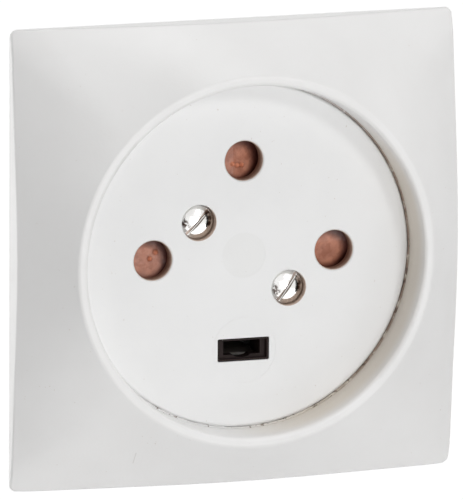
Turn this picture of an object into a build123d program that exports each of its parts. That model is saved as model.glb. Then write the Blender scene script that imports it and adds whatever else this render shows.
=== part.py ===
from build123d import *
import math
import os

# Three-phase flush socket. Millimetres. X is right, Z is up, and the socket faces -Y.
# The wall plane is Y = 0 and the socket axis runs through the origin.
# A height is a distance in front of the wall, a depth is a distance behind it.

# Cover plate
plate_side = 82.0
plate_corner_r = 1.3
plate_rim_height = 14.3
plate_flare = 7.0
plate_foot_depth = 3.97
plate_hip_r = 6.0
plate_hip_angle = 30.0
plate_wall = 2.0
plate_setback = 3.2
plate_edge_round = 0.6
rim_land = 1.7
rim_round = 0.75
well_draft = 0.3
lip_width = 4.9
lip_thick = 1.6
rib_thick = 1.2
rib_count = 8
rib_clearance = 0.8

# Socket face
face_r = 30.6
face_gap = 0.3
face_height = 7.0
face_thick = 2.6
face_rim_thick = 2.0
face_edge_round = 0.5
face_back_gap = 0.3
pin_ring_r = 16.8
pin_hole_r = 3.5
pin_hole_chamfer = 0.25
earth_slot_width = 9.6
earth_slot_height = 4.1
earth_slot_corner_r = 0.3
witness_ring_r = 6.0
witness_ring_width = 0.3
witness_ring_depth = 0.06
roundel_r = 4.0
roundel_depth = 0.06

# Face screws and their bushes
screw_x = 8.35
screw_z = 6.25
screw_head_r = 2.9
screw_head_edge = 0.9
screw_dome = 0.85
screw_shank_r = 1.5
screw_seat_depth = 2.0
screw_slot_width = 0.7
screw_slot_depth = 0.9
screw_slot_angles = (47.0, 55.0)
head_clearance = 0.3
shank_clearance = 0.2
thread_clearance = 0.05
boss_r = 2.6
bush_flats = 5.5
bush_depth = 6.0
screw_tip_clearance = 0.6

# Shutter
shutter_setback = 3.0
shutter_thick = 1.6
shutter_floor_gap = 0.3
shutter_hub_r = 4.2
shutter_arm_width = 2.8
blade_r = 4.3
blade_tip_gap = 0.5
blade_ramp_drop = 0.9
blade_ramp_start = 1.0
blade_angles = (0.0, 90.0, 180.0)
pivot_r = 2.1
pivot_clearance = 0.2
lug_r = 0.7
lug_ring_r = 5.8
lug_angle = 90.0
stop_r = 1.0
stop_ring_r = 9.0
stop_gap = 0.3

# Shutter spring
spring_wire_r = 0.3
spring_loop_r = 3.0
spring_leg = 5.0
spring_recess_r = 6.9
spring_recess_depth = 1.0
spring_gap = 0.05

# Shutter carrier and base
body_wall = 2.3
flange_margin = 5.3
flange_corner_r = 8.0
front_wall = 3.0
entry_r = 3.55
pocket_depth = 13.0
earth_boss_r = 5.6
earth_boss_wall = 0.6
collar_gap = 0.1
collar_setback = 0.15
collar_rim = 0.3
collar_recess = 0.9
earth_window_width = 6.8
earth_window_height = 2.6
earth_window_land = 0.1
earth_notch_width = 3.1
earth_notch_depth = 0.5

# Contacts
sleeve_bore_r = 3.05
sleeve_wall = 1.0
sleeve_gap = 0.3
sleeve_slit = 0.8
sleeve_slit_depth = 11.0
strap_thick = 1.2
strap_side_gap = 0.3
clip_thick = 0.5
clip_gap = 0.05
clip_start = 3.0
clip_length = 5.0
clip_mouth = 4.0
chamber_gap = 0.3

# Earth contact
earth_leaf_thick = 0.9
earth_leaf_width = 7.4
earth_leaf_gap = 0.3
earth_pinch = 2.0
earth_mouth = 3.4
earth_flare = 3.5
earth_clip_room = 0.2
earth_clip_lap = 3.0

# Terminals
terminal_turn = 36.0
terminal_inset = 6.0
terminal_tab_r = 4.4
terminal_screw_r = 2.0
terminal_head_r = 3.5
terminal_head_height = 2.6
terminal_slot_width = 1.0
terminal_slot_depth = 1.2
terminal_screw_length = 5.0
terminal_tail_gap = 0.5
saddle_side = 8.4
saddle_thick = 1.2

# Contact retainer, with the walls that keep the wires apart
retainer_hub_r = 9.5
retainer_arm_width = 7.0
retainer_thick = 2.4
retainer_depth = 24.0
fin_thick = 2.4
fin_turn = 65.0
skirt_thick = 2.0
wire_notch_width = 9.6
retainer_bush_flats = 7.0
retainer_bush_length = 7.0

# Yoke and rivets
yoke_edge_gap = 4.0
yoke_corner_r = 5.0
yoke_thick = 1.2
yoke_body_gap = 0.3
fixing_pitch = 60.0
fixing_slot_width = 4.4
fixing_slot_length = 7.0
fixing_head_r = 4.0
rivet_r = 1.5
rivet_head_r = 2.8
rivet_head_thick = 0.9
rivet_gap = 0.1
rivet_margin = 1.9

# Places that follow from the sizes above
inner_side = plate_side - 2 * plate_wall
yoke_side = inner_side - 2 * yoke_edge_gap
well_r = face_r + face_gap
lip_inner_r = well_r - lip_width
crest_r = well_r + well_draft + rim_land
flare_half = plate_side / 2 + plate_flare
lip_front = face_height - face_rim_thick
lip_back = lip_front - lip_thick
face_back = face_height - face_thick
shutter_front = face_height - shutter_setback
shutter_back = shutter_front - shutter_thick
floor_height = shutter_back - shutter_floor_gap
chamber_front = front_wall - floor_height
sleeve_r = sleeve_bore_r + sleeve_wall
sleeve_front = chamber_front + sleeve_gap
clip_inner_r = sleeve_r + clip_gap
chamber_r = clip_inner_r + clip_thick + chamber_gap
body_r = pin_ring_r + chamber_r + body_wall
terminal_ring_r = body_r - terminal_inset
rivet_place = (body_r + yoke_body_gap + rivet_head_r + rivet_margin) / math.sqrt(2)
flange_side = 2 * (rivet_place + flange_margin)
strap_back = pocket_depth + strap_thick
collar_front = face_height - collar_setback
earth_ceiling = face_back - earth_boss_wall
leaf_front = earth_ceiling - earth_leaf_gap
pin_points = [(pin_ring_r, 0), (0, pin_ring_r), (-pin_ring_r, 0)]
earth_point = (0, -pin_ring_r)
screw_points = [(-screw_x, screw_z), (screw_x, -screw_z)]
contact_angles = {"right": 0.0, "top": 90.0, "left": 180.0}
earth_angle = 270.0
socket_axis = Axis((0, 0, 0), (0, -1, 0))
pick_margin = 0.01


def at(height):
    """Drawing plane parallel to the wall, seen from the front: its x is X and its y is Z."""
    return Plane(origin=(0, -height, 0), x_dir=(1, 0, 0), z_dir=(0, -1, 0))


def polar(radius, angle):
    """Point on a drawing plane, the angle turning anticlockwise seen from the front."""
    return (radius * math.cos(math.radians(angle)), radius * math.sin(math.radians(angle)))


def section(*points):
    """Closed half outline in the XY plane, as pairs of radius and depth, to revolve round Y."""
    with BuildSketch() as outline:
        with BuildLine():
            Polyline(*points, close=True)
        make_face()
    return outline.sketch


def pillow(setback):
    """Sloping form from a rounded square behind the wall to the round crest of the well."""
    corner = flare_half - plate_hip_r
    with BuildPart() as form:
        with BuildSketch(at(-plate_foot_depth - setback)):
            with BuildLine():
                for turn in range(4):
                    hip_centre = polar(corner * math.sqrt(2), 90 * turn + 45)
                    hip = CenterArc(hip_centre, plate_hip_r, 90 * turn, 90)
                    PolarLine(hip @ 1, 2 * corner, 90 * turn + 180)
            make_face()
        with BuildSketch(at(plate_rim_height - setback)):
            with BuildLine():
                for turn in range(4):
                    start = 90 * turn + 45 - plate_hip_angle / 2
                    CenterArc((0, 0), crest_r, start, plate_hip_angle)
                    CenterArc((0, 0), crest_r, start + plate_hip_angle, 90 - plate_hip_angle)
            make_face()
        loft(ruled=True)
    return form.part


def slotted_screw(head_r, head_edge, dome, shank_r, length, slot_width, slot_depth):
    """Slotted screw along Y, its seat at the origin and its head towards the front."""
    with BuildPart() as screw:
        with BuildSketch():
            with BuildLine():
                Polyline((0, length), (shank_r, length), (shank_r, 0), (head_r, 0), (head_r, -head_edge))
                if dome > 0:
                    crown = (head_r**2 + dome**2) / (2 * dome)
                    tilt = math.degrees(math.asin(head_r / crown))
                    CenterArc((0, crown - head_edge - dome), crown, tilt - 90, -tilt)
                    Line((0, -head_edge - dome), (0, length))
                else:
                    Polyline((head_r, -head_edge), (0, -head_edge), (0, length))
            make_face()
        revolve(axis=Axis.Y)
        with BuildSketch(at(head_edge + dome)):
            Rectangle(3 * head_r, slot_width)
        extrude(amount=-slot_depth, mode=Mode.SUBTRACT)
    return screw.part


def hex_bush(flats, bore_r, length):
    """Hexagon bush along Y, its front end at the origin."""
    with BuildPart() as bush:
        with BuildSketch(at(0)):
            RegularPolygon(flats / 2, 6, major_radius=False)
            Circle(bore_r, mode=Mode.SUBTRACT)
        extrude(amount=-length)
    return bush.part


def group(label, pieces):
    """Separate solids of one node."""
    return Compound(label=label, children=[solid for piece in pieces for solid in piece.solids()])


# Space behind the plate's sloping faces, with stiffening ribs left standing in it
tube_r = well_r + plate_wall
flange_corner = flange_side / 2 - flange_corner_r
rib_inner_r = flange_corner * math.sqrt(2) + flange_corner_r + rib_clearance
with BuildPart() as plate_hollow:
    add(pillow(plate_setback))
    with BuildSketch(at(-plate_wall)):
        Rectangle(inner_side, inner_side)
    extrude(amount=plate_rim_height + plate_wall, mode=Mode.INTERSECT)
    with BuildSketch(at(lip_back)):
        Circle(tube_r)
    extrude(amount=plate_rim_height, mode=Mode.SUBTRACT)
    for rib_height, rib_start_r in ((lip_back, well_r), (yoke_thick + rib_clearance, rib_inner_r)):
        with BuildSketch(at(rib_height)):
            with PolarLocations(plate_side / 2, rib_count):
                Rectangle(plate_side, rib_thick)
            Circle(rib_start_r, mode=Mode.SUBTRACT)
        extrude(amount=plate_rim_height, mode=Mode.SUBTRACT)

with BuildPart() as cover_plate:
    add(pillow(0))
    with BuildSketch(at(0)):
        RectangleRounded(plate_side, plate_side, plate_corner_r)
    extrude(amount=2 * plate_rim_height, mode=Mode.INTERSECT)
    side_faces = cover_plate.faces().filter_by(lambda face: abs(face.normal_at().Y) < pick_margin)
    front_edges = side_faces.edges().filter_by(Axis.Y, reverse=True).filter_by_position(
        Axis.Y, -plate_rim_height, 0, inclusive=(True, False)
    )
    fillet(front_edges, radius=plate_edge_round)
    revolve(
        section(
            (0, -lip_front),
            (well_r, -lip_front),
            (well_r + well_draft, -plate_rim_height),
            (0, -plate_rim_height),
        ),
        axis=Axis.Y,
        mode=Mode.SUBTRACT,
    )
    crest_edges = cover_plate.edges().filter_by_position(
        Axis.Y, -plate_rim_height - pick_margin, -plate_rim_height + pick_margin
    )
    fillet(crest_edges, radius=rim_round)
    with BuildSketch(at(lip_front)):
        Circle(lip_inner_r)
    extrude(amount=-lip_front, mode=Mode.SUBTRACT)
    add(plate_hollow.part, mode=Mode.SUBTRACT)
    with BuildSketch(at(lip_front)):
        with PolarLocations(fixing_pitch / 2, 4):
            SlotOverall(2 * fixing_head_r + fixing_slot_length, 2 * fixing_head_r)
        Circle(well_r, mode=Mode.INTERSECT)
    extrude(amount=-lip_thick, mode=Mode.SUBTRACT)
cover_plate.part.label = "cover_plate"

with BuildPart() as socket_face:
    step_r = lip_inner_r - face_back_gap
    revolve(
        section(
            (0, -face_height),
            (face_r, -face_height),
            (face_r, -lip_front),
            (step_r, -lip_front),
            (step_r, -face_back),
            (0, -face_back),
        ),
        axis=Axis.Y,
    )
    fillet(socket_face.faces().sort_by(Axis.Y)[0].edges(), radius=face_edge_round)
    with BuildSketch(at(face_height)):
        with Locations(*pin_points):
            Circle(pin_hole_r)
    extrude(amount=-face_thick, mode=Mode.SUBTRACT)
    chamfer(socket_face.faces().sort_by(Axis.Y)[0].inner_wires().edges(), length=pin_hole_chamfer)
    with BuildSketch(at(face_height)):
        with Locations(earth_point):
            RectangleRounded(earth_slot_width, earth_slot_height, earth_slot_corner_r)
    extrude(amount=-face_thick, mode=Mode.SUBTRACT)
    with BuildSketch(at(face_height)):
        with Locations(earth_point):
            Circle(witness_ring_r)
            Circle(witness_ring_r - witness_ring_width, mode=Mode.SUBTRACT)
    extrude(amount=-witness_ring_depth, mode=Mode.SUBTRACT)
    with BuildSketch(at(face_height)):
        Circle(roundel_r)
    extrude(amount=-roundel_depth, mode=Mode.SUBTRACT)
    with BuildSketch(at(face_back)):
        with Locations(*screw_points):
            Circle(boss_r)
    extrude(amount=floor_height - face_back)
    with BuildSketch(at(face_height)):
        with Locations(*screw_points):
            Circle(screw_head_r + head_clearance)
    extrude(amount=-screw_seat_depth, mode=Mode.SUBTRACT)
    with BuildSketch(at(face_height)):
        with Locations(*screw_points):
            Circle(screw_shank_r + shank_clearance)
    extrude(amount=floor_height - face_height, mode=Mode.SUBTRACT)
socket_face.part.label = "socket_face"

# Face screws, seated in the counterbores, and the bushes that take them
screw_seat = face_height - screw_seat_depth
face_screw = slotted_screw(
    screw_head_r,
    screw_head_edge,
    screw_dome,
    screw_shank_r,
    screw_seat + bush_depth - screw_tip_clearance,
    screw_slot_width,
    screw_slot_depth,
)
face_screws = group(
    "face_screws",
    [
        Pos(x, -screw_seat, z) * face_screw.rotate(socket_axis, angle)
        for (x, z), angle in zip(screw_points, screw_slot_angles)
    ],
)
face_bush = hex_bush(bush_flats, screw_shank_r + thread_clearance, bush_depth - chamber_front)
face_bushes = group("face_bushes", [Pos(x, chamber_front, z) * face_bush for x, z in screw_points])

# Shutter: three blades on a hub, each with a ramp that a pin slides down
with BuildPart() as blade_ramp:
    with BuildSketch(Plane.YZ.offset(pin_ring_r - blade_r)):
        with BuildLine():
            Polyline(
                (-shutter_front, blade_ramp_start),
                (-shutter_front, -blade_r),
                (blade_ramp_drop - shutter_front, -blade_r),
                close=True,
            )
        make_face()
    extrude(amount=2 * blade_r)

with BuildPart() as shutter:
    with BuildSketch(at(shutter_back)):
        Circle(shutter_hub_r)
        with PolarLocations(pin_ring_r / 2, 3, start_angle=0, angular_range=180, endpoint=True):
            Rectangle(pin_ring_r, shutter_arm_width)
        with Locations(*pin_points):
            Circle(blade_r)
        Circle(pivot_r + pivot_clearance, mode=Mode.SUBTRACT)
    extrude(amount=shutter_thick)
    for angle in blade_angles:
        add(blade_ramp.part.rotate(socket_axis, angle), mode=Mode.SUBTRACT)
    with BuildSketch(at(shutter_back)):
        with Locations(polar(lug_ring_r, lug_angle)):
            Circle(lug_r)
    extrude(amount=-spring_recess_depth)
shutter.part.label = "shutter"

# Hairpin spring: half a loop round the pivot and two straight legs, one on the lug and one on a peg
spring_spread = math.degrees(math.atan2(spring_leg, spring_loop_r))
spring_side = math.degrees(math.acos((spring_loop_r + spring_wire_r + spring_gap + lug_r) / lug_ring_r))
loop_end = lug_angle - spring_side
loop_start = loop_end + 180
peg_angle = loop_start - spring_side
spring_height = floor_height - spring_recess_depth / 2
leg_reach = math.hypot(spring_loop_r, spring_leg)
with BuildPart() as shutter_spring:
    with BuildLine(at(spring_height)) as wire_path:
        Line(polar(leg_reach, loop_start - spring_spread), polar(spring_loop_r, loop_start))
        CenterArc((0, 0), spring_loop_r, loop_start, 180)
        Line(polar(spring_loop_r, loop_end), polar(leg_reach, loop_end + spring_spread))
    with BuildSketch(Plane(wire_path.line @ 0, z_dir=wire_path.line % 0)):
        Circle(spring_wire_r)
    sweep(path=wire_path.line)
shutter_spring.part.label = "shutter_spring"

# Shutter carrier: square flange on the yoke, with the shutter's chamber, pivot and stops in its front.
# Its earth boss ends in a sunk collar that lines the earth slot and leaves a window for the blade.
collar_width = earth_slot_width - 2 * collar_gap
collar_height = earth_slot_height - 2 * collar_gap
window_top = collar_height / 2 - collar_rim - earth_window_land - pin_ring_r
window_point = (0, window_top - earth_window_height / 2)
notch_point = (0, window_top - earth_window_height)
leaf_room_height = earth_mouth + 2 * (earth_leaf_thick + earth_leaf_gap)
rivet_points = [(rivet_place * x, rivet_place * z) for x in (-1, 1) for z in (-1, 1)]
stop_side = math.degrees(math.asin((shutter_arm_width / 2 + stop_r + stop_gap) / stop_ring_r))
with BuildPart() as shutter_carrier:
    with BuildSketch(at(lip_back)):
        RectangleRounded(flange_side, flange_side, flange_corner_r)
    extrude(amount=yoke_thick - lip_back)
    with BuildSketch(at(lip_back)):
        Circle(body_r)
    extrude(amount=-lip_back - chamber_front)
    with BuildSketch(at(lip_back)):
        Circle(pin_ring_r + blade_r + blade_tip_gap)
    extrude(amount=floor_height - lip_back, mode=Mode.SUBTRACT)
    with BuildSketch(at(floor_height)):
        Circle(spring_recess_r)
    extrude(amount=-spring_recess_depth, mode=Mode.SUBTRACT)
    with BuildSketch(at(floor_height - spring_recess_depth)):
        with Locations(polar(lug_ring_r, peg_angle)):
            Circle(lug_r)
    extrude(amount=spring_recess_depth)
    with BuildSketch(at(floor_height - spring_recess_depth)):
        Circle(pivot_r)
    extrude(amount=shutter_front + spring_recess_depth - floor_height)
    with BuildSketch(at(floor_height)):
        with Locations(polar(stop_ring_r, lug_angle - stop_side)):
            Circle(stop_r)
    extrude(amount=shutter_front - floor_height)
    with BuildSketch(at(floor_height)):
        with Locations(earth_point):
            Circle(earth_boss_r)
    extrude(amount=face_back - floor_height)
    with BuildSketch(at(face_back)):
        with Locations(earth_point):
            RectangleRounded(collar_width, collar_height, earth_slot_corner_r - collar_gap)
    extrude(amount=collar_front - face_back)
    with BuildSketch(at(collar_front)):
        with Locations(earth_point):
            Rectangle(collar_width - 2 * collar_rim, collar_height - 2 * collar_rim)
    extrude(amount=-collar_recess, mode=Mode.SUBTRACT)
    with BuildSketch(at(floor_height)):
        with Locations(*pin_points):
            Circle(entry_r)
        with Locations(*screw_points):
            Circle(screw_shank_r + shank_clearance)
    extrude(amount=-front_wall, mode=Mode.SUBTRACT)
    with BuildSketch(at(collar_front)):
        with Locations(window_point):
            Rectangle(earth_window_width, earth_window_height)
        with Locations(notch_point):
            Ellipse(earth_notch_width / 2, earth_notch_depth)
    extrude(amount=earth_ceiling - collar_front, mode=Mode.SUBTRACT)
    with BuildSketch(at(earth_ceiling)):
        with Locations(earth_point):
            Rectangle(earth_leaf_width + 2 * earth_leaf_gap, leaf_room_height)
    extrude(amount=-earth_ceiling - chamber_front, mode=Mode.SUBTRACT)
    with BuildSketch(at(lip_back)):
        with Locations(*rivet_points):
            Circle(rivet_r + rivet_gap)
    extrude(amount=yoke_thick - lip_back, mode=Mode.SUBTRACT)
    with BuildSketch(at(lip_back)):
        with Locations(*rivet_points):
            Circle(rivet_head_r + rivet_gap)
    extrude(amount=-rivet_head_thick, mode=Mode.SUBTRACT)
shutter_carrier.part.label = "shutter_carrier"

# Base: round block behind the carrier, with a chamber for each contact
terminal_points = {
    name: polar(terminal_ring_r, angle + terminal_turn)
    for name, angle in {**contact_angles, "earth": earth_angle}.items()
}
earth_chamber_width = earth_leaf_width + 2 * (clip_thick + earth_clip_room + chamber_gap)
earth_clip_half = earth_pinch / 2 + earth_leaf_thick + earth_clip_room
earth_chamber_height = 2 * (earth_clip_half + clip_thick + chamber_gap)
with BuildPart() as base:
    with BuildSketch(at(-chamber_front)):
        Circle(body_r)
        with Locations(*pin_points):
            Circle(chamber_r, mode=Mode.SUBTRACT)
        with Locations(earth_point):
            Rectangle(earth_chamber_width, earth_chamber_height, mode=Mode.SUBTRACT)
    extrude(amount=chamber_front - pocket_depth)
    with BuildSketch(at(-chamber_front)):
        with Locations(*screw_points):
            RegularPolygon(bush_flats / 2, 6, major_radius=False)
    extrude(amount=chamber_front - bush_depth, mode=Mode.SUBTRACT)
    with BuildSketch(at(-pocket_depth)):
        with Locations(*terminal_points.values()):
            Circle(terminal_screw_r + terminal_tail_gap)
    extrude(amount=terminal_screw_length + terminal_tail_gap, mode=Mode.SUBTRACT)
    with BuildSketch(at(-pocket_depth)):
        RegularPolygon(retainer_bush_flats / 2, 6, major_radius=False)
    extrude(amount=retainer_bush_length, mode=Mode.SUBTRACT)
base.part.label = "base"


def pin_contact(name, angle):
    """Split sleeve on its terminal strap, built on the right and turned to its place."""
    tab = polar(terminal_ring_r, terminal_turn)
    with BuildPart() as contact:
        with BuildSketch(at(-sleeve_front)):
            with Locations((pin_ring_r, 0)):
                Circle(sleeve_r)
        extrude(amount=sleeve_front - strap_back)
        with BuildSketch(at(-pocket_depth)):
            with Locations((pin_ring_r, 0)):
                Circle(chamber_r - strap_side_gap)
            with Locations(tab):
                Circle(terminal_tab_r)
            make_hull()
        extrude(amount=-strap_thick)
        with BuildSketch(at(-sleeve_front)):
            with Locations((pin_ring_r, 0)):
                Circle(sleeve_bore_r)
        extrude(amount=sleeve_front - strap_back, mode=Mode.SUBTRACT)
        with BuildSketch(at(-sleeve_front)):
            with Locations((pin_ring_r, 0)):
                Rectangle(2 * chamber_r, sleeve_slit)
        extrude(amount=-sleeve_slit_depth, mode=Mode.SUBTRACT)
        with BuildSketch(at(-pocket_depth)):
            with Locations(tab):
                Circle(terminal_screw_r + thread_clearance)
        extrude(amount=-strap_thick, mode=Mode.SUBTRACT)
    piece = contact.part.rotate(socket_axis, angle)
    piece.label = name
    return piece


pin_contacts = [pin_contact(f"contact_{side}", turn) for side, turn in contact_angles.items()]

# Steel clips that close the sleeves on the pins
with BuildPart() as sleeve_clip:
    with BuildSketch(at(-clip_start)):
        with Locations((pin_ring_r, 0)):
            Circle(clip_inner_r + clip_thick)
            Circle(clip_inner_r, mode=Mode.SUBTRACT)
            Rectangle(clip_mouth, chamber_r, align=(Align.CENTER, Align.MAX), mode=Mode.SUBTRACT)
    extrude(amount=-clip_length)
contact_springs = group(
    "contact_springs", [sleeve_clip.part.rotate(socket_axis, turn) for turn in contact_angles.values()]
)

# Earth contact: two sprung leaves on a terminal strap
leaf_mid = earth_pinch / 2 + earth_leaf_thick / 2
earth_tab = terminal_points["earth"]
with BuildPart() as earth_contact:
    with BuildSketch(Plane.YZ):
        with BuildLine():
            for way in (-1, 1):
                Polyline(
                    (-leaf_front, -pin_ring_r + way * (earth_mouth + earth_leaf_thick) / 2),
                    (earth_flare - leaf_front, -pin_ring_r + way * leaf_mid),
                    (strap_back - strap_thick / 2, -pin_ring_r + way * leaf_mid),
                )
        trace(line_width=earth_leaf_thick)
    extrude(amount=earth_leaf_width / 2, both=True)
    with BuildSketch(at(-pocket_depth)):
        with Locations(earth_point):
            Rectangle(earth_leaf_width, 2 * leaf_mid + earth_leaf_thick)
        with Locations(earth_tab):
            Circle(terminal_tab_r)
        make_hull()
    extrude(amount=-strap_thick)
    with BuildSketch(at(-pocket_depth)):
        with Locations(earth_tab):
            Circle(terminal_screw_r + thread_clearance)
    extrude(amount=-strap_thick, mode=Mode.SUBTRACT)
earth_contact.part.label = "earth_contact"

with BuildPart() as earth_spring:
    clip_line = earth_clip_half + clip_thick / 2
    clip_side = earth_leaf_width / 2 + earth_clip_room + clip_thick / 2
    with BuildSketch(at(-clip_start)):
        with BuildLine():
            FilletPolyline(
                (earth_clip_lap, clip_line - pin_ring_r),
                (-clip_side, clip_line - pin_ring_r),
                (-clip_side, -clip_line - pin_ring_r),
                (earth_clip_lap, -clip_line - pin_ring_r),
                radius=2 * clip_thick,
            )
        trace(line_width=clip_thick)
    extrude(amount=-clip_length)
earth_spring.part.label = "earth_spring"

# Terminals: saddle and screw on each strap, heads to the back
with BuildPart() as saddle:
    with BuildSketch(at(-strap_back)):
        Rectangle(saddle_side, saddle_side)
        Circle(terminal_screw_r + shank_clearance, mode=Mode.SUBTRACT)
    extrude(amount=-saddle_thick)
terminal_screw = slotted_screw(
    terminal_head_r,
    terminal_head_height,
    0,
    terminal_screw_r,
    saddle_thick + strap_thick + terminal_screw_length,
    terminal_slot_width,
    terminal_slot_depth,
).rotate(Axis.Z, 180)
saddle_back = strap_back + saddle_thick
terminal_saddles = group(
    "terminal_saddles",
    [
        Pos(x, 0, z) * saddle.part.rotate(socket_axis, math.degrees(math.atan2(z, x)))
        for x, z in terminal_points.values()
    ],
)
terminal_screws = group(
    "terminal_screws", [Pos(x, saddle_back, z) * terminal_screw for x, z in terminal_points.values()]
)

# Retainer: a cross over the backs of the contacts, with fins between the terminals and a notched skirt
retainer_back = strap_back + retainer_thick
rib_end_r = body_r - skirt_thick / 2
fin_start_r = retainer_hub_r - fin_thick
with BuildPart() as contact_retainer:
    with BuildSketch(at(-pocket_depth)):
        Circle(retainer_hub_r)
    extrude(amount=pocket_depth - retainer_back)
    with BuildSketch(at(-pocket_depth)):
        Circle(body_r)
        Circle(body_r - skirt_thick, mode=Mode.SUBTRACT)
        with PolarLocations(body_r, 4, start_angle=terminal_turn):
            Rectangle(4 * skirt_thick, wire_notch_width, mode=Mode.SUBTRACT)
        with PolarLocations((fin_start_r + rib_end_r) / 2, 4, start_angle=fin_turn):
            Rectangle(rib_end_r - fin_start_r, fin_thick)
    extrude(amount=pocket_depth - retainer_depth)
    with BuildSketch(at(-strap_back)):
        with PolarLocations(rib_end_r / 2, 4):
            Rectangle(rib_end_r, retainer_arm_width)
    extrude(amount=-retainer_thick)
    with BuildSketch(at(-pocket_depth)):
        Circle(terminal_screw_r + shank_clearance)
    extrude(amount=pocket_depth - retainer_back, mode=Mode.SUBTRACT)
contact_retainer.part.label = "contact_retainer"
retainer_screw = Pos(0, retainer_back, 0) * slotted_screw(
    terminal_head_r,
    terminal_head_height,
    0,
    terminal_screw_r,
    retainer_back - pocket_depth + retainer_bush_length - screw_tip_clearance,
    terminal_slot_width,
    terminal_slot_depth,
).rotate(Axis.Z, 180)
retainer_screw.label = "retainer_screw"
retainer_bush = Pos(0, pocket_depth - retainer_bush_length, 0) * hex_bush(
    retainer_bush_flats, terminal_screw_r + thread_clearance, retainer_bush_length
)
retainer_bush.label = "retainer_bush"

with BuildPart() as yoke:
    with BuildSketch(at(0)):
        RectangleRounded(yoke_side, yoke_side, yoke_corner_r)
        Circle(body_r + yoke_body_gap, mode=Mode.SUBTRACT)
        with PolarLocations(fixing_pitch / 2, 4):
            SlotOverall(fixing_slot_length, fixing_slot_width, mode=Mode.SUBTRACT)
        with Locations(*rivet_points):
            Circle(rivet_r + rivet_gap, mode=Mode.SUBTRACT)
    extrude(amount=yoke_thick)
yoke.part.label = "yoke"

# Rivets that hold the base flange to the yoke
with BuildPart() as rivet:
    revolve(
        section(
            (0, -lip_back),
            (rivet_head_r, -lip_back),
            (rivet_head_r, rivet_head_thick - lip_back),
            (rivet_r, rivet_head_thick - lip_back),
            (rivet_r, 0),
            (rivet_head_r, 0),
            (rivet_head_r - rivet_head_thick / 2, rivet_head_thick),
            (0, rivet_head_thick),
        ),
        axis=Axis.Y,
    )
yoke_rivets = group("yoke_rivets", [Pos(x, 0, z) * rivet.part for x, z in rivet_points])

os.makedirs("parts", exist_ok=True)
export_step(cover_plate.part, "parts/cover_plate.step")
export_step(socket_face.part, "parts/socket_face.step")
export_step(face_screws, "parts/face_screws.step")
export_step(face_bushes, "parts/face_bushes.step")
export_step(shutter.part, "parts/shutter.step")
export_step(shutter_spring.part, "parts/shutter_spring.step")
export_step(shutter_carrier.part, "parts/shutter_carrier.step")
export_step(base.part, "parts/base.step")
for piece in pin_contacts:
    export_step(piece, f"parts/{piece.label}.step")
export_step(contact_springs, "parts/contact_springs.step")
export_step(earth_contact.part, "parts/earth_contact.step")
export_step(earth_spring.part, "parts/earth_spring.step")
export_step(terminal_saddles, "parts/terminal_saddles.step")
export_step(terminal_screws, "parts/terminal_screws.step")
export_step(contact_retainer.part, "parts/contact_retainer.step")
export_step(retainer_screw, "parts/retainer_screw.step")
export_step(retainer_bush, "parts/retainer_bush.step")
export_step(yoke.part, "parts/yoke.step")
export_step(yoke_rivets, "parts/yoke_rivets.step")
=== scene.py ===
import logging
import math
from abc import ABC, abstractmethod
from collections.abc import Callable
from dataclasses import dataclass
from enum import Enum
from functools import cache
from typing import ClassVar

import bmesh
import bpy
from mathutils import Matrix, Vector


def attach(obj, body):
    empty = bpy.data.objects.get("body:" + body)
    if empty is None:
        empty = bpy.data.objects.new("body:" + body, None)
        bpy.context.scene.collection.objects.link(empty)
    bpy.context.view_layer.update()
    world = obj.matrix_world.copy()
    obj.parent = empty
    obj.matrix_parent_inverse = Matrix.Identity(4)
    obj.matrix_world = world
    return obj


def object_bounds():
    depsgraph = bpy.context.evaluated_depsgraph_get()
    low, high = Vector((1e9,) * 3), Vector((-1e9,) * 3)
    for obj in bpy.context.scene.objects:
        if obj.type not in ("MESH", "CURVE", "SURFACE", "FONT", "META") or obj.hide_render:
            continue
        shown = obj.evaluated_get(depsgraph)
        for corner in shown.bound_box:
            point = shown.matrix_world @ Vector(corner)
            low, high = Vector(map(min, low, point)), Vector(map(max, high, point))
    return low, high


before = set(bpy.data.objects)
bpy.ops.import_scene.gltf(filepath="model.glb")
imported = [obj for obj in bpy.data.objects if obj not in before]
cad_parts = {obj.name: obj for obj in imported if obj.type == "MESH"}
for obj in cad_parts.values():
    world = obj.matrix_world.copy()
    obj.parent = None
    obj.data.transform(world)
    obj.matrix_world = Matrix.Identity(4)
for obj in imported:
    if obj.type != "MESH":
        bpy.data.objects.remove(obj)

# Looks of a three-phase flush socket, in metres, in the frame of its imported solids:
# X is right, Z is up, and the socket faces -Y out of the wall plane Y = 0.
CAD_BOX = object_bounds()
LOG = logging.getLogger("socket")
MM = 0.001

Colour = tuple[float, float, float]
Place = tuple[float, float, float]
Spot = tuple[float, float]
Span = tuple[float, float]
Wave = tuple[int, float, float]
NodeSocket = bpy.types.NodeSocket

# X and Z of the places that dirt, painted shade, painted highlights and small forms are laid round
AXIS: Spot = (0.0, 0.0)
PINS: tuple[Spot, ...] = ((16.8 * MM, 0.0), (0.0, 16.8 * MM), (-16.8 * MM, 0.0))
FACE_SCREWS: tuple[Spot, ...] = ((-8.35 * MM, 6.25 * MM), (8.35 * MM, -6.25 * MM))
PIPS: tuple[Spot, ...] = (
    (-1.15 * MM, 15.75 * MM),
    (-0.28 * MM, 15.5 * MM),
    (0.6 * MM, 15.55 * MM),
    (-16.4 * MM, -0.2 * MM),
    (-15.3 * MM, 0.9 * MM),
)
# Degrees that the slots of the two face screws stand at
SCREW_SLOTS: tuple[float, ...] = (47.0, 55.0)
# Direction into the wall, and the scale that leaves depth out of a place
INWARD: Place = (0.0, 1.0, 0.0)
FLAT: Place = (1.0, 0.0, 1.0)
# Part of a noise's range over which roughness changes
NOISE_SPAN: Span = (0.2, 0.8)
# Part of a noise's range over which the studio's colours change, and their roughness
STUDIO_SPAN: Span = (0.3, 0.7)
STUDIO_ROUGHNESS = 0.9
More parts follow.
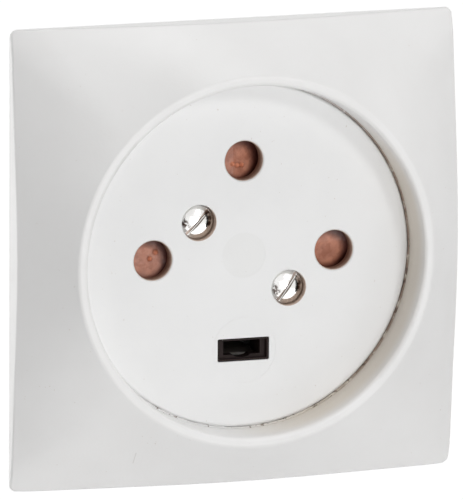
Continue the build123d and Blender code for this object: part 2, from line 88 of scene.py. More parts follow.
# Sockets of the Mix node when it mixes colours
MIX_FACTOR, MIX_BASE, MIX_TINT, MIX_RESULT = 0, 6, 7, 2


def around(spots: tuple[Spot, ...], *shifts: Spot) -> tuple[Spot, ...]:
    """Spots beside others, by shifts right and up from each, in millimetres."""
    return tuple((x + right * MM, z + up * MM) for x, z in spots for right, up in shifts)


def on_circle(middle: Spot, radius: float, angle: float) -> Spot:
    """X and Z of the point of a circle at an angle in radians."""
    return middle[0] + radius * math.cos(angle), middle[1] + radius * math.sin(angle)


class Body(Enum):
    """The two bodies that pieces ride on."""

    SOCKET = "socket"
    SHUTTER = "shutter"


class Graph:
    """Node tree of one finish, with short calls for the nodes that the finishes share."""

    def __init__(self, name: str) -> None:
        """Start a material with a Principled shader wired to its output.

        Args:
            name: Name of the new material.
        """
        self.material = bpy.data.materials.new(f"{name}_finish")
        self.material.use_nodes = True
        self.tree = self.material.node_tree
        self.tree.nodes.clear()
        output = self.tree.nodes.new("ShaderNodeOutputMaterial")
        self.shader = self.tree.nodes.new("ShaderNodeBsdfPrincipled")
        self.tree.links.new(self.shader.outputs["BSDF"], output.inputs["Surface"])
        self.place = self.tree.nodes.new("ShaderNodeTexCoord").outputs["Object"]

    def set(self, **values: float | Colour) -> None:
        """Set constant sockets of the shader.

        Args:
            values: Socket names with underscores for spaces, and their values.
        """
        for name, value in values.items():
            socket = self.shader.inputs[name.replace("_", " ")]
            socket.default_value = (*value, 1.0) if isinstance(value, tuple) else value

    def feed(self, socket: str, source: NodeSocket) -> None:
        """Wire a node's output to one of the shader's sockets."""
        self.tree.links.new(source, self.shader.inputs[socket])

    def moved(self, shift: Place = (0.0, 0.0, 0.0), scale: Place = (1.0, 1.0, 1.0)) -> NodeSocket:
        """Object coordinates scaled and then shifted.

        Args:
            shift: Shift along each axis, in metres.
            scale: Factor along each axis.

        Returns:
            The new coordinates.
        """
        mapping = self.tree.nodes.new("ShaderNodeMapping")
        mapping.inputs["Location"].default_value = shift
        mapping.inputs["Scale"].default_value = scale
        self.tree.links.new(self.place, mapping.inputs["Vector"])
        return mapping.outputs["Vector"]

    def beside(self, spot: Spot) -> NodeSocket:
        """Object coordinates across an axis along Y, measured from that axis."""
        return self.moved((-spot[0], 0.0, -spot[1]), FLAT)

    def vector(
        self, operation: str, first: NodeSocket, second: Place = (0.0, 0.0, 0.0)
    ) -> NodeSocket:
        """One number from a vector.

        Args:
            operation: LENGTH or DOT_PRODUCT.
            first: The vector.
            second: Fixed vector that the product is taken with.

        Returns:
            The number.
        """
        node = self.tree.nodes.new("ShaderNodeVectorMath")
        node.operation = operation
        node.inputs[1].default_value = second
        self.tree.links.new(first, node.inputs[0])
        return node.outputs["Value"]

    def maths(self, operation: str, *values: NodeSocket) -> NodeSocket:
        """Work out one number from one or two others.

        Args:
            operation: Blender's name of the operation.
            values: The numbers that go in.

        Returns:
            The result.
        """
        node = self.tree.nodes.new("ShaderNodeMath")
        node.operation = operation
        for value, socket in zip(values, node.inputs):
            self.tree.links.new(value, socket)
        return node.outputs["Value"]

    def reach(self, spots: tuple[Spot, ...]) -> NodeSocket:
        """Distance to the nearest of some axes along Y.

        Args:
            spots: X and Z of each axis, in metres.

        Returns:
            The distance in metres.
        """
        nearest, *others = [self.vector("LENGTH", self.beside(spot)) for spot in spots]
        for other in others:
            nearest = self.maths("MINIMUM", nearest, other)
        return nearest

    def step(self, source: NodeSocket, change: Span, result: Span = (0.0, 1.0)) -> NodeSocket:
        """Smooth change of a number.

        Args:
            source: Value that drives the change.
            change: Where the change begins and ends.
            result: Result up to the beginning and from the end on.

        Returns:
            The result.
        """
        node = self.tree.nodes.new("ShaderNodeMapRange")
        node.interpolation_type = "SMOOTHSTEP"
        for name, value in zip(("From Min", "From Max", "To Min", "To Max"), (*change, *result)):
            node.inputs[name].default_value = value
        self.tree.links.new(source, node.inputs["Value"])
        return node.outputs["Result"]

    def noise(
        self, size: float, detail: float = 3.0, place: NodeSocket | None = None
    ) -> NodeSocket:
        """Cloudy noise.

        Args:
            size: Size of a cloud in metres.
            detail: Octaves of finer noise.
            place: Coordinates to use in place of the object's own.

        Returns:
            The noise, from 0 to 1.
        """
        node = self.tree.nodes.new("ShaderNodeTexNoise")
        node.inputs["Scale"].default_value = 1.0 / size
        node.inputs["Detail"].default_value = detail
        self.tree.links.new(place or self.place, node.inputs["Vector"])
        return node.outputs["Fac"]

    def ramp(self, source: NodeSocket, low: Colour, high: Colour, change: Span) -> NodeSocket:
        """Colour that goes from low to high.

        Args:
            source: Value that drives the ramp.
            low: Colour up to the beginning of the change.
            high: Colour from its end on.
            change: Where the change begins and ends.

        Returns:
            The colour.
        """
        node = self.tree.nodes.new("ShaderNodeValToRGB")
        for mark, place, colour in zip(node.color_ramp.elements, change, (low, high)):
            mark.position = place
            mark.color = (*colour, 1.0)
        self.tree.links.new(source, node.inputs["Fac"])
        return node.outputs["Color"]

    def tint(self, base: NodeSocket, mask: NodeSocket, colour: Colour) -> NodeSocket:
        """Multiply a colour by a tint where a mask says so.

        Args:
            base: Colour to tint.
            mask: Where and how much, from 0 to 1.
            colour: Tint at full mask.

        Returns:
            The tinted colour.
        """
        node = self.tree.nodes.new("ShaderNodeMix")
        node.data_type = "RGBA"
        node.blend_type = "MULTIPLY"
        self.tree.links.new(mask, node.inputs[MIX_FACTOR])
        self.tree.links.new(base, node.inputs[MIX_BASE])
        node.inputs[MIX_TINT].default_value = (*colour, 1.0)
        return node.outputs[MIX_RESULT]

    def bump(self, source: NodeSocket, depth: float, below: NodeSocket | None = None) -> NodeSocket:
        """Surface relief.

        Args:
            source: Height from 0 to 1.
            depth: Height of the relief in metres.
            below: Relief that this one lies on.

        Returns:
            The bent normal.
        """
        node = self.tree.nodes.new("ShaderNodeBump")
        node.inputs["Distance"].default_value = depth
        self.tree.links.new(source, node.inputs["Height"])
        if below is not None:
            self.tree.links.new(below, node.inputs["Normal"])
        return node.outputs["Normal"]


class Mask(ABC):
    """Part of a surface that a stain covers."""

    @abstractmethod
    def mask(self, graph: Graph) -> NodeSocket:
        """How much of the stain shows, from 0 to 1."""


@dataclass(frozen=True)
class Ring(Mask):
    """Mask by distance from the nearest of some axes along Y."""

    spots: tuple[Spot, ...]
    start: float
    end: float

    def mask(self, graph: Graph) -> NodeSocket:
        """How much of the stain shows, from 0 to 1."""
        return graph.step(graph.reach(self.spots), (self.start, self.end))


@dataclass(frozen=True)
class Side(Mask):
    """Mask by how far the surface lies along a direction."""

    direction: Place
    start: float
    end: float

    def mask(self, graph: Graph) -> NodeSocket:
        """How much of the stain shows, from 0 to 1."""
        along = graph.vector("DOT_PRODUCT", graph.place, self.direction)
        return graph.step(along, (self.start, self.end))


@dataclass(frozen=True)
class Band(Mask):
    """Mask of a straight strip through an axis along Y, as a screw's slot is."""

    spot: Spot
    angle: float
    half_width: float
    half_length: float
    side_fade: Span = (1.06, 0.97)
    end_fade: Span = (1.02, 1.0)

    def mask(self, graph: Graph) -> NodeSocket:
        """Lay the strip.

        Args:
            graph: Node tree to work in.

        Returns:
            How much of the stain shows, from 0 to 1.
        """
        turn = math.radians(self.angle)
        flat = graph.beside(self.spot)
        across = graph.vector("DOT_PRODUCT", flat, (-math.sin(turn), 0.0, math.cos(turn)))
        sides = tuple(part * self.half_width for part in self.side_fade)
        ends = tuple(part * self.half_length for part in self.end_fade)
        inside = graph.step(graph.maths("ABSOLUTE", across), sides)
        near = graph.step(graph.vector("LENGTH", flat), ends)
        return graph.maths("MULTIPLY", inside, near)


@dataclass(frozen=True)
class Blotch(Mask):
    """Mask of cloudy spots."""

    size: float
    start: float
    end: float

    def mask(self, graph: Graph) -> NodeSocket:
        """How much of the stain shows, from 0 to 1."""
        return graph.step(graph.noise(self.size), (self.start, self.end))


@dataclass(frozen=True)
class StainOrPaintedLight:
    """Tint of dust, wear, tarnish, painted shade, a painted shadow or a painted highlight, laid
    where all its masks meet.
    """

    tint: Colour
    masks: tuple[Mask, ...]

    def lay(self, graph: Graph, base: NodeSocket) -> NodeSocket:
        """Tint a colour.

        Args:
            graph: Node tree to work in.
            base: Colour under the stain.

        Returns:
            The tinted colour.
        """
        first, *others = self.masks
        cover = first.mask(graph)
        for other in others:
            cover = graph.maths("MULTIPLY", cover, other.mask(graph))
        return graph.tint(base, cover, self.tint)


@dataclass(frozen=True)
class Coat(ABC):
    """What the finishes share: two colours that mingle in clouds, and tints of dirt, wear, painted
    shade and painted highlight over them.
    """

    name: str
    colour: Colour
    shade: Colour
    roughness: float
    stains_and_painted_light: tuple[StainOrPaintedLight, ...] = ()
    mingle: Span = (0.36, 0.62)

    def paint(self, graph: Graph, cloud: NodeSocket) -> None:
        """Mix the base colour and lay the tints of dirt and of painted light over it.

        Args:
            graph: Node tree to work in.
            cloud: Noise that the two colours mingle by.
        """
        colour = graph.ramp(cloud, self.shade, self.colour, self.mingle)
        for layer in self.stains_and_painted_light:
            colour = layer.lay(graph, colour)
        graph.feed("Base Color", colour)

    @abstractmethod
    def material(self) -> bpy.types.Material:
        """Build the material."""


@dataclass(frozen=True)
class Moulding(Coat):
    """Moulded plastic with faint flow marks, a fine grain, specks and a soft gloss."""

    grain: float = 0.45 * MM
    grain_depth: float = 0.012 * MM
    grain_detail: float = 2.0
    flow: float = 14 * MM
    flow_depth: float = 0.0
    flow_detail: float = 4.0
    gloss: float = 0.5
    smoother: float = 0.06
    rougher: float = 0.07

    def material(self) -> bpy.types.Material:
        """Build the material.

        Returns:
            The new material.
        """
        graph = Graph(self.name)
        flow = graph.noise(self.flow, self.flow_detail)
        grain = graph.noise(self.grain, self.grain_detail)
        self.paint(graph, flow)
        polish = (self.roughness - self.smoother, self.roughness + self.rougher)
        graph.feed("Roughness", graph.step(grain, NOISE_SPAN, polish))
        relief = graph.bump(flow, self.flow_depth) if self.flow_depth else None
        graph.feed("Normal", graph.bump(grain, self.grain_depth, relief))
        graph.set(Specular_IOR_Level=self.gloss)
        return graph.material


@dataclass(frozen=True)
class Metal(Coat):
    """Bare or plated metal with drawn marks, cloudy plating, and tints of tarnish, painted shade
    and painted reflection.
    """

    mingle: Span = (0.36, 0.58)
    spread: float = 0.08
    mark: float = 0.5 * MM
    mark_depth: float = 0.004 * MM
    mark_detail: float = 3.0
    stretch: Place = (1.0, 1.0, 1.0)
    cloud: float = 3 * MM
    cloud_detail: float = 4.0

    def material(self) -> bpy.types.Material:
        """Build the material.

        Returns:
            The new material.
        """
        graph = Graph(self.name)
        cloud = graph.noise(self.cloud, self.cloud_detail)
        marks = graph.noise(self.mark, self.mark_detail, graph.moved(scale=self.stretch))
        self.paint(graph, cloud)
        polish = (self.roughness - self.spread, self.roughness + self.spread)
        graph.feed("Roughness", graph.step(marks, NOISE_SPAN, polish))
        graph.feed("Normal", graph.bump(marks, self.mark_depth))
        graph.set(Metallic=1.0)
        return graph.material


# Specks, a scratch, and dust and painted shade round the well and along the bead
SPECKS = StainOrPaintedLight((0.82, 0.78, 0.74), (Blotch(0.55 * MM, 0.735, 0.76),))
# Dust and painted shade: the well's wall darker and warmer towards its right and its foot
WELL_DUST_AND_SHADE = StainOrPaintedLight(
    (0.865, 0.80, 0.715),
    (
        Ring((AXIS,), 31.9 * MM, 31.2 * MM),
        Side((0.93, 0.0, -0.37), 6 * MM, 24 * MM),
        Side(INWARD, -15.5 * MM, -10.5 * MM),
    ),
)
SCRATCH = StainOrPaintedLight(
    (0.86, 0.85, 0.84), (Band((-20.7 * MM, -34.6 * MM), 90.0, 0.09 * MM, 1.1 * MM),)
)
# Grime and painted shade along the slit round the face, darker towards the right
BEAD_GRIME_AND_SHADE = StainOrPaintedLight(
    (0.42, 0.34, 0.30), (Side((1.0, 0.0, 0.05), 7 * MM, 24 * MM), Blotch(1.6 * MM, 0.28, 0.50))
)
# Grime spots and painted shade along the lower part of the slit round the face
BEAD_SPOTS_AND_SHADE = StainOrPaintedLight(
    (0.34, 0.29, 0.26), (Side((0.4, 0.0, -0.9), 0.0, 12 * MM), Blotch(0.9 * MM, 0.56, 0.64))
)

# Dust, painted shade and the roundel on the face
# Dust and painted shade: brown on the pin holes' walls and rims
HOLE_DUST_AND_SHADE = StainOrPaintedLight((0.70, 0.56, 0.47), (Ring(PINS, 3.66 * MM, 3.5 * MM),))
# Painted shade: the pin holes' walls darker further in
HOLE_DEPTH_SHADE = StainOrPaintedLight(
    (0.36, 0.24, 0.19),
    (Ring(PINS, 3.6 * MM, 3.52 * MM), Side(INWARD, -6.9 * MM, -4.9 * MM)),
)
# Dust and painted shade: brown on the screw counterbores' walls, strongest at their lower right
SCREW_DUST_AND_SHADE = StainOrPaintedLight(
    (0.62, 0.47, 0.38),
    (
        Ring(FACE_SCREWS, 3.32 * MM, 3.2 * MM),
        Ring(around(FACE_SCREWS, (-1.2, 0.9)), 2.9 * MM, 4.3 * MM),
    ),
)
ROUNDEL = StainOrPaintedLight((0.975, 0.975, 0.97), (Ring((AXIS,), 4.1 * MM, 3.95 * MM),))

# Mottling, a painted shadow and a painted highlight on the shutter's blades, and painted shade in
# the earth leaves
# Painted shadow of the holes' rims on the blades, darkest towards the upper right
BLADE_RIM_SHADOW = StainOrPaintedLight((0.17, 0.08, 0.07), (Ring(around(PINS, (-0.3, -0.5)), 2.0 * MM, 3.7 * MM),))
BLADE_MOTTLE = StainOrPaintedLight((0.80, 0.71, 0.66), (Blotch(1.5 * MM, 0.44, 0.64),))
# Painted highlight: the pips lighter in their middles
PIP_HIGHLIGHT = StainOrPaintedLight((1.7, 1.62, 1.58), (Ring(PIPS, 0.6 * MM, 0.2 * MM),))
# Painted shade: the earth leaves darker behind their front edges
LEAF_DEPTH_SHADE = StainOrPaintedLight((0.22, 0.20, 0.19), (Side(INWARD, -2.6 * MM, -1.8 * MM),))

# Painted shade in the face screws' slots, and tarnish with painted dark reflections on their heads
# Painted shade in the screw heads' slots
SLOT_SHADE = tuple(
    StainOrPaintedLight((0.22, 0.18, 0.16), (Band(spot, angle, 0.26 * MM, 2.9 * MM),))
    for spot, angle in zip(FACE_SCREWS, SCREW_SLOTS)
)
# Tarnish spots with painted dark reflections on the left and right edges of the screw heads
LEFT_TARNISH_AND_REFLECTION = StainOrPaintedLight(
    (0.07, 0.04, 0.03),
    (
        Ring(around(FACE_SCREWS, (-2.35, -0.1), (-1.95, -0.75)), 0.8 * MM, 0.3 * MM),
        Blotch(0.7 * MM, 0.4, 0.55),
    ),
)
RIGHT_TARNISH_AND_REFLECTION = StainOrPaintedLight(
    (0.12, 0.08, 0.06),
    (
        Ring(around(FACE_SCREWS, (1.9, 1.5), (2.1, 0.6), (2.0, -0.3)), 0.8 * MM, 0.3 * MM),
        Blotch(0.9 * MM, 0.36, 0.55),
    ),
)


class Finish(Enum):
    """Every finish on the socket, named for where it goes."""

    PLATE_WHITE = Moulding(
        "plate_white",
        colour=(0.828, 0.823, 0.817),
        shade=(0.806, 0.80, 0.793),
        roughness=0.40,
        flow_depth=0.05 * MM,
        stains_and_painted_light=(SPECKS, WELL_DUST_AND_SHADE, SCRATCH),
    )
    BEAD_WHITE = Moulding(
        "plate_white",
        colour=(0.828, 0.823, 0.817),
        shade=(0.806, 0.80, 0.793),
        roughness=0.40,
        stains_and_painted_light=(WELL_DUST_AND_SHADE, BEAD_GRIME_AND_SHADE, BEAD_SPOTS_AND_SHADE),
    )
    FACE_WHITE = Moulding(
        "face_white",
        colour=(0.83, 0.83, 0.828),
        shade=(0.81, 0.81, 0.808),
        roughness=0.46,
        stains_and_painted_light=(SPECKS, HOLE_DUST_AND_SHADE, HOLE_DEPTH_SHADE, SCREW_DUST_AND_SHADE, ROUNDEL),
    )
    SHUTTER_BROWN = Moulding(
        "shutter_brown",
        colour=(0.56, 0.235, 0.145),
        shade=(0.42, 0.165, 0.10),
        roughness=0.40,
        grain=0.35 * MM,
        grain_depth=0.05 * MM,
        flow=1.8 * MM,
        flow_depth=0.10 * MM,
        stains_and_painted_light=(BLADE_MOTTLE, BLADE_RIM_SHADOW, PIP_HIGHLIGHT),
    )
    CARRIER_DARK = Moulding(
        "carrier_dark",
        colour=(0.022, 0.013, 0.012),
        shade=(0.013, 0.008, 0.007),
        roughness=0.5,
        grain=0.4 * MM,
        grain_depth=0.02 * MM,
        flow=6 * MM,
        gloss=0.12,
    )
    BASE_DARK = Moulding(
        "base_dark",
        colour=(0.030, 0.019, 0.017),
        shade=(0.016, 0.010, 0.009),
        roughness=0.40,
        grain=0.4 * MM,
        grain_depth=0.02 * MM,
        flow=6 * MM,
    )
    RETAINER_GREY = Moulding(
        "retainer_grey",
        colour=(0.10, 0.10, 0.102),
        shade=(0.07, 0.07, 0.073),
        roughness=0.46,
        grain=0.4 * MM,
        grain_depth=0.02 * MM,
        flow=6 * MM,
    )
    BRIGHT_SCREW = Metal(
        "bright_screw",
        colour=(0.90, 0.895, 0.88),
        shade=(0.80, 0.79, 0.77),
        roughness=0.14,
        spread=0.06,
        stains_and_painted_light=(LEFT_TARNISH_AND_REFLECTION, RIGHT_TARNISH_AND_REFLECTION, *SLOT_SHADE),
    )
    TINNED_BRASS = Metal(
        "tinned_brass",
        colour=(0.82, 0.80, 0.77),
        shade=(0.66, 0.64, 0.61),
        roughness=0.58,
        stains_and_painted_light=(LEAF_DEPTH_SHADE,),
    )
    BRASS = Metal(
        "brass", colour=(0.80, 0.60, 0.28), shade=(0.58, 0.40, 0.16), roughness=0.30
    )
    SPRING_STEEL = Metal(
        "spring_steel", colour=(0.52, 0.52, 0.53), shade=(0.36, 0.35, 0.34), roughness=0.30
    )
    PLATED_STEEL = Metal(
        "plated_steel",
        colour=(0.53, 0.53, 0.52),
        shade=(0.45, 0.45, 0.435),
        roughness=0.36,
        mark=0.35 * MM,
        stretch=(1.0, 1.0, 0.12),
        cloud=1.3 * MM,
    )

    @cache
    def made(self) -> bpy.types.Material:
        """The finish's material, made once."""
        return self.value.material()


def put(name: str, data: bpy.types.ID) -> bpy.types.Object:
    """Put a mesh, lamp or camera in the scene.

    Args:
        name: Name of the new object.
        data: What the object holds.

    Returns:
        The object.
    """
    thing = bpy.data.objects.new(name, data)
    bpy.context.scene.collection.objects.link(thing)
    return thing


def add_ring(
    form: bmesh.types.BMesh,
    spot: Spot,
    profile: Callable[[float], tuple[Spot, ...]],
    steps: int,
) -> None:
    """Turn a closed profile round an axis along Y.

    Args:
        form: Mesh that takes the ring.
        spot: X and Z of the axis.
        profile: Gives the radius and Y of the profile's corners, in order, at an angle.
        steps: Corners round the ring.
    """
    rows = []
    for step in range(steps):
        angle = 2 * math.pi * step / steps
        row = []
        for radius, y in profile(angle):
            x, z = on_circle(spot, radius, angle)
            row.append(form.verts.new((x, y, z)))
        rows.append(row)
    for row, after in zip(rows, rows[1:] + rows[:1]):
        for index, corner in enumerate(row):
            follow = (index + 1) % len(row)
            face = form.faces.new((corner, row[follow], after[follow], after[index]))
            face.smooth = True


class SubAssembly(ABC):
    """Solids that take their finishes, with one small piece that is left to the looks."""

    FINISHES: ClassVar[dict[str, Finish]]
    PIECE: ClassVar[str]
    PIECE_FINISH: ClassVar[Finish]
    PIECE_BODY: ClassVar[Body]

    def dress(self) -> list[str]:
        """Give each node its finish.

        Returns:
            The names of the dressed nodes.
        """
        for node, finish in self.FINISHES.items():
            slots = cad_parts[node].data.materials
            slots.clear()
            slots.append(finish.made())
        return list(self.FINISHES)

    @abstractmethod
    def shape(self, form: bmesh.types.BMesh) -> None:
        """Shape the small piece in an empty mesh."""

    def build(self) -> bpy.types.Object:
        """Build the small piece and make it ride on its body.

        Returns:
            The piece.
        """
        form = bmesh.new()
        self.shape(form)
        bmesh.ops.recalc_face_normals(form, faces=form.faces)
        mesh = bpy.data.meshes.new(self.PIECE)
        form.to_mesh(mesh)
        form.free()
        mesh.materials.append(self.PIECE_FINISH.made())
        piece = put(self.PIECE, mesh)
        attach(piece, self.PIECE_BODY.value)
        return piece


@dataclass
class FrontCover(SubAssembly):
    """Cover plate, face and face screws, with the plate's thin bead at the foot of the well."""

    FINISHES = {
        "cover_plate": Finish.PLATE_WHITE,
        "socket_face": Finish.FACE_WHITE,
        "face_screws": Finish.BRIGHT_SCREW,
    }
    PIECE = "plate_bead"
    PIECE_FINISH = Finish.BEAD_WHITE
    PIECE_BODY = Body.SOCKET

    face_edge: float = 30.53 * MM
    wall: float = 30.99 * MM
    bead_front: float = -6.95 * MM
    bead_lip: float = -6.74 * MM
    bead_back: float = -6.3 * MM
    undercut: float = 0.03 * MM
    slit: float = 0.085 * MM
    least_slit: float = 0.01 * MM
    lean: float = 0.05 * MM
    waver: float = 0.035 * MM
    # Count round the well, height and shift of each wave along the bead's edge
    waves: tuple[Wave, ...] = ((23, 1.0, 1.0), (57, 0.8, 2.0), (131, 0.7, 0.0))
    steps: int = 1440

    def slit_at(self, angle: float) -> float:
        """Width of the slit that the bead leaves round the face, at an angle in radians."""
        wave = sum(size * math.sin(count * angle + shift) for count, size, shift in self.waves)
        return max(self.least_slit, self.slit + self.lean * math.cos(angle) + self.waver * wave)

    def profile(self, angle: float) -> tuple[Spot, ...]:
        """Section of the bead.

        Args:
            angle: Angle round the well, in radians.

        Returns:
            Radius and Y of the section's corners.
        """
        slit = self.slit_at(angle)
        return (
            (self.face_edge + self.undercut + slit, self.bead_back),
            (self.face_edge + slit, self.bead_lip),
            (self.wall, self.bead_front),
            (self.wall, self.bead_back),
        )

    def shape(self, form: bmesh.types.BMesh) -> None:
        """Shape the bead in an empty mesh."""
        add_ring(form, AXIS, self.profile, self.steps)


@dataclass
class ShutterGear(SubAssembly):
    """The turning shutter, its spring and carrier, with the moulded pips on the blades."""

    FINISHES = {
        "shutter": Finish.SHUTTER_BROWN,
        "shutter_spring": Finish.SPRING_STEEL,
        "shutter_carrier": Finish.CARRIER_DARK,
    }
    PIECE = "shutter_pips"
    PIECE_FINISH = Finish.SHUTTER_BROWN
    PIECE_BODY = Body.SHUTTER

    blade_front: float = -4.0 * MM
    sink: float = 0.02 * MM
    pip_radius: float = 0.5 * MM
    pip_height: float = 0.38 * MM
    steps: int = 24
    rings: int = 8

    def rise(self, radius: float) -> float:
        """Height of a pip above the blade at a radius, as half a wave."""
        swell = 0.5 + 0.5 * math.cos(math.pi * radius / self.pip_radius)
        return self.pip_height * swell - self.sink

    def add_pip(self, form: bmesh.types.BMesh, spot: Spot) -> None:
        """Add one pip, which swells softly out of the blade.

        Args:
            form: Mesh that takes the pip.
            spot: X and Z of its middle.
        """
        levels = []
        for ring in range(self.rings):
            radius = self.pip_radius * (1 - ring / self.rings)
            level = []
            for turn in range(self.steps):
                x, z = on_circle(spot, radius, 2 * math.pi * turn / self.steps)
                level.append(form.verts.new((x, self.blade_front - self.rise(radius), z)))
            levels.append(level)
        foot, crown = levels[0], levels[-1]
        top = form.verts.new((spot[0], self.blade_front - self.rise(0.0), spot[1]))
        for turn in range(self.steps):
            after = (turn + 1) % self.steps
            for low, high in zip(levels, levels[1:]):
                form.faces.new((low[turn], low[after], high[after], high[turn])).smooth = True
            form.faces.new((crown[turn], crown[after], top)).smooth = True
        form.faces.new(foot[::-1])

    def shape(self, form: bmesh.types.BMesh) -> None:
        """Shape all the pips in an empty mesh."""
        for spot in PIPS:
            self.add_pip(form, spot)


@dataclass
class ContactBlock(SubAssembly):
    """Base, contacts, terminals, retainer and yoke, with ejector marks on the retainer's arms."""

    FINISHES = {
        "base": Finish.BASE_DARK,
        "face_bushes": Finish.BRASS,
        "contact_right": Finish.BRASS,
        "contact_top": Finish.BRASS,
        "contact_left": Finish.BRASS,
        "contact_springs": Finish.SPRING_STEEL,
        "earth_contact": Finish.TINNED_BRASS,
        "earth_spring": Finish.SPRING_STEEL,
        "terminal_saddles": Finish.PLATED_STEEL,
        "terminal_screws": Finish.PLATED_STEEL,
        "contact_retainer": Finish.RETAINER_GREY,
        "retainer_screw": Finish.PLATED_STEEL,
        "retainer_bush": Finish.BRASS,
        "yoke": Finish.PLATED_STEEL,
        "yoke_rivets": Finish.PLATED_STEEL,
    }
    PIECE = "retainer_marks"
    PIECE_FINISH = Finish.RETAINER_GREY
    PIECE_BODY = Body.SOCKET

    arms: int = 4
    arm_back: float = 16.6 * MM
    mark_place: float = 14.0 * MM
    mark_radius: float = 1.5 * MM
    mark_width: float = 0.3 * MM
    mark_height: float = 0.12 * MM
    mark_slope: float = 0.06 * MM
    sink: float = 0.05 * MM
    steps: int = 64

    def profile(self, angle: float) -> tuple[Spot, ...]:
        """Section of a ring-shaped mark.

        Args:
            angle: Angle round the mark, which is the same all round.

        Returns:
            Radius and Y of the section's corners.
        """
        foot, top = self.arm_back - self.sink, self.arm_back + self.mark_height
        inner = self.mark_radius - self.mark_width
        return (
            (self.mark_radius, foot),
            (self.mark_radius - self.mark_slope, top),
            (inner + self.mark_slope, top),
            (inner, foot),
        )

    def shape(self, form: bmesh.types.BMesh) -> None:
        """Shape the marks, one on each arm.

        Args:
            form: Empty mesh that takes them.
        """
        for arm in range(self.arms):
            spot = on_circle(AXIS, self.mark_place, math.radians(360 / self.arms * arm))
            add_ring(form, spot, self.profile, self.steps)


def bearing(azimuth: float, elevation: float) -> Vector:
    """Direction from the socket, by angles round it and above it.

    Args:
        azimuth: Degrees from straight in front, positive to the right.
        elevation: Degrees above the level of the socket's axis.

    Returns:
        The direction as a unit vector.
    """
    turn, rise = math.radians(azimuth), math.radians(elevation)
    level = math.cos(rise)
    return Vector((math.sin(turn) * level, -math.cos(turn) * level, math.sin(rise)))


def aim(thing: bpy.types.Object, azimuth: float, elevation: float, distance: float) -> None:
    """Place a lamp or card round the socket, by its bearing and distance, and face it there."""
    thing.location = bearing(azimuth, elevation) * distance
    thing.rotation_euler = (-thing.location).to_track_quat("-Z", "Y").to_euler()


def flat_mesh(name: str, wide: float, tall: float, height: float = 0.0) -> bpy.types.Mesh:
    """Four-cornered sheet across Z.

    Args:
        name: Name of the new mesh.
        wide: Half its width, in metres.
        tall: Half its length, in metres.
        height: Its Z.

    Returns:
        The mesh.
    """
    mesh = bpy.data.meshes.new(name)
    corners = [(x * wide, y * tall, height) for x, y in ((-1, -1), (1, -1), (1, 1), (-1, 1))]
    mesh.from_pydata(corners, [], [tuple(range(len(corners)))])
    return mesh


def backdrop_rays(tree: bpy.types.NodeTree) -> NodeSocket:
    """Mask of the rays that show the backdrop: to the camera, in reflections, through glass.

    Args:
        tree: Node tree to work in.

    Returns:
        1 for such rays and 0 for the rest.
    """
    path = tree.nodes.new("ShaderNodeLightPath")
    mask = path.outputs["Is Camera Ray"]
    for name in ("Is Glossy Ray", "Is Transmission Ray"):
        node = tree.nodes.new("ShaderNodeMath")
        node.operation = "MAXIMUM"
        tree.links.new(mask, node.inputs[0])
        tree.links.new(path.outputs[name], node.inputs[1])
        mask = node.outputs["Value"]
    return mask


@dataclass(frozen=True)
class Softbox:
    """Soft square lamp aimed at the socket."""

    name: str
    azimuth: float
    elevation: float
    watts: float
    side: float = 0.5
    spread: float = 180.0
    distance: float = 1.3

    def build(self) -> bpy.types.Object:
        """Hang the lamp.

        Returns:
            The lamp.
        """
        data = bpy.data.lights.new(self.name, "AREA")
        data.shape = "SQUARE"
        data.size = self.side
        data.energy = self.watts
        data.spread = math.radians(self.spread)
        lamp = put(self.name, data)
        aim(lamp, self.azimuth, self.elevation, self.distance)
        lamp.visible_camera = False
        return lamp


@dataclass(frozen=True)
class Flag:
    """Black card that only shows in reflections, as in a photographer's studio."""

    name: str
    azimuth: float
    elevation: float
    width: float
    height: float
    distance: float = 0.8
    dark: Colour = (0.01, 0.009, 0.008)
    pale: Colour = (0.02, 0.017, 0.015)
    cloud: float = 0.1

    def build(self) -> bpy.types.Object:
        """Stand the card up facing the socket.

        Returns:
            The card.
        """
        mesh = flat_mesh(self.name, self.width / 2, self.height / 2)
        card = put(self.name, mesh)
        aim(card, self.azimuth, self.elevation, self.distance)
        card.visible_camera = card.visible_diffuse = False
        card.visible_transmission = card.visible_shadow = False
        graph = Graph(self.name)
        colour = graph.ramp(graph.noise(self.cloud), self.dark, self.pale, STUDIO_SPAN)
        graph.feed("Base Color", colour)
        graph.set(Roughness=STUDIO_ROUGHNESS)
        mesh.materials.append(graph.material)
        return card


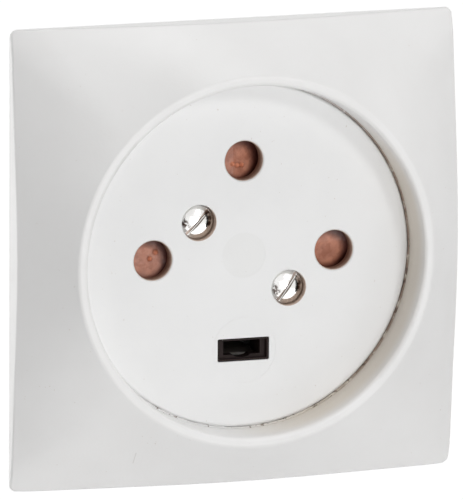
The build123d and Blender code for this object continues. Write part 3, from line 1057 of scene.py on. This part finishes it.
@dataclass
class Studio:
    """Pale floor, even surround, soft lamps and the camera at the photograph's viewing angle."""

    floor_drop: float = 0.65
    floor_half: float = 12.0
    floor_glow: float = 0.80
    floor_dark: Colour = (0.86, 0.86, 0.86)
    floor_pale: Colour = (0.88, 0.88, 0.88)
    floor_cloud: float = 0.4
    surround: float = 0.225
    backdrop: float = 1.0
    softboxes: tuple[Softbox, ...] = (
        Softbox("lamp_front", 5, -2, 5.6, 0.6),
        Softbox("lamp_key", 20, 25, 2.8, 0.25),
        Softbox("lamp_top", 48, 74, 5.1),
        Softbox("lamp_right", 80, 60, 0.45, 0.6),
        Softbox("lamp_left", -60, 3, 0.9),
        Softbox("lamp_low_left", -65, -38, 0.5, 0.4, distance=0.8),
        Softbox("lamp_low_right", 45, -30, 1.4),
        Softbox("lamp_back_left", -140, 9, 1.0, 0.6, 40),
        Softbox("lamp_back_top", -172, 43, 0.17, 0.6, 40),
    )
    flags: tuple[Flag, ...] = (
        Flag("flag_right", 59.5, -7, 0.22, 0.60),
        Flag("flag_left", -42.4, 4.4, 0.26, 0.42),
    )
    azimuth: float = -19.52
    elevation: float = 10.63
    roll: float = 0.26
    distance: float = 2.014
    lens: float = 825.5
    target: Place = (0.18 * MM, 0.0, -0.32 * MM)
    nearest: float = 0.05
    farthest: float = 60.0

    def light_surround(self) -> None:
        """Light the socket evenly from all round, in front of a white backdrop."""
        world = bpy.data.worlds.new("surround")
        bpy.context.scene.world = world
        world.use_nodes = True
        tree = world.node_tree
        mix = tree.nodes.new("ShaderNodeMixShader")
        even, white = tree.nodes["Background"], tree.nodes.new("ShaderNodeBackground")
        for socket, shader, strength in ((1, even, self.surround), (2, white, self.backdrop)):
            shader.inputs["Color"].default_value = (1.0, 1.0, 1.0, 1.0)
            shader.inputs["Strength"].default_value = strength
            tree.links.new(shader.outputs["Background"], mix.inputs[socket])
        tree.links.new(backdrop_rays(tree), mix.inputs["Fac"])
        tree.links.new(mix.outputs["Shader"], tree.nodes["World Output"].inputs["Surface"])

    def lay_floor(self) -> bpy.types.Object:
        """Lay the floor below the socket.

        Returns:
            The floor.
        """
        drop = CAD_BOX[0].z - self.floor_drop
        mesh = flat_mesh("floor", self.floor_half, self.floor_half, drop)
        floor = put("floor", mesh)
        graph = Graph("floor_pale")
        noise = graph.noise(self.floor_cloud)
        graph.feed("Base Color", graph.ramp(noise, self.floor_dark, self.floor_pale, STUDIO_SPAN))
        graph.set(Roughness=STUDIO_ROUGHNESS, Emission_Color=(1.0, 1.0, 1.0))
        glow = graph.step(backdrop_rays(graph.tree), (0.0, 1.0), (0.0, self.floor_glow))
        graph.feed("Emission Strength", glow)
        mesh.materials.append(graph.material)
        return floor

    def place_camera(self) -> bpy.types.Object:
        """Set the camera where the photograph was taken from.

        Returns:
            The camera.
        """
        turn, roll = math.radians(self.azimuth), math.radians(self.roll)
        back = bearing(self.azimuth, self.elevation)
        level = Vector((math.cos(turn), math.sin(turn), 0.0))
        upright = back.cross(level)
        right = level * math.cos(roll) + upright * math.sin(roll)
        up = back.cross(right)
        data = bpy.data.cameras.new("camera")
        data.lens = self.lens
        data.clip_start, data.clip_end = self.nearest, self.farthest
        camera = put("camera", data)
        basis = Matrix((right, up, back)).transposed().to_4x4()
        camera.matrix_world = Matrix.Translation(Vector(self.target) + back * self.distance) @ basis
        bpy.context.scene.camera = camera
        return camera

    def build(self) -> list[bpy.types.Object]:
        """Set up the whole studio.

        Returns:
            The lamps, cards, floor and camera.
        """
        bpy.context.scene.view_settings.view_transform = "Standard"
        self.light_surround()
        stands = [stand.build() for stand in (*self.softboxes, *self.flags)]
        return [*stands, self.lay_floor(), self.place_camera()]


def main() -> None:
    """Dress the socket, build its small pieces and set the studio."""
    assemblies: tuple[SubAssembly, ...] = (FrontCover(), ShutterGear(), ContactBlock())
    for assembly in assemblies:
        for name in assembly.dress():
            LOG.info("dressed %s", name)
    for assembly in assemblies:
        LOG.info("built %s", assembly.build().name)
    for stand in Studio().build():
        LOG.info("set %s", stand.name)


if __name__ == "__main__":
    logging.basicConfig(level=logging.INFO)
    main()
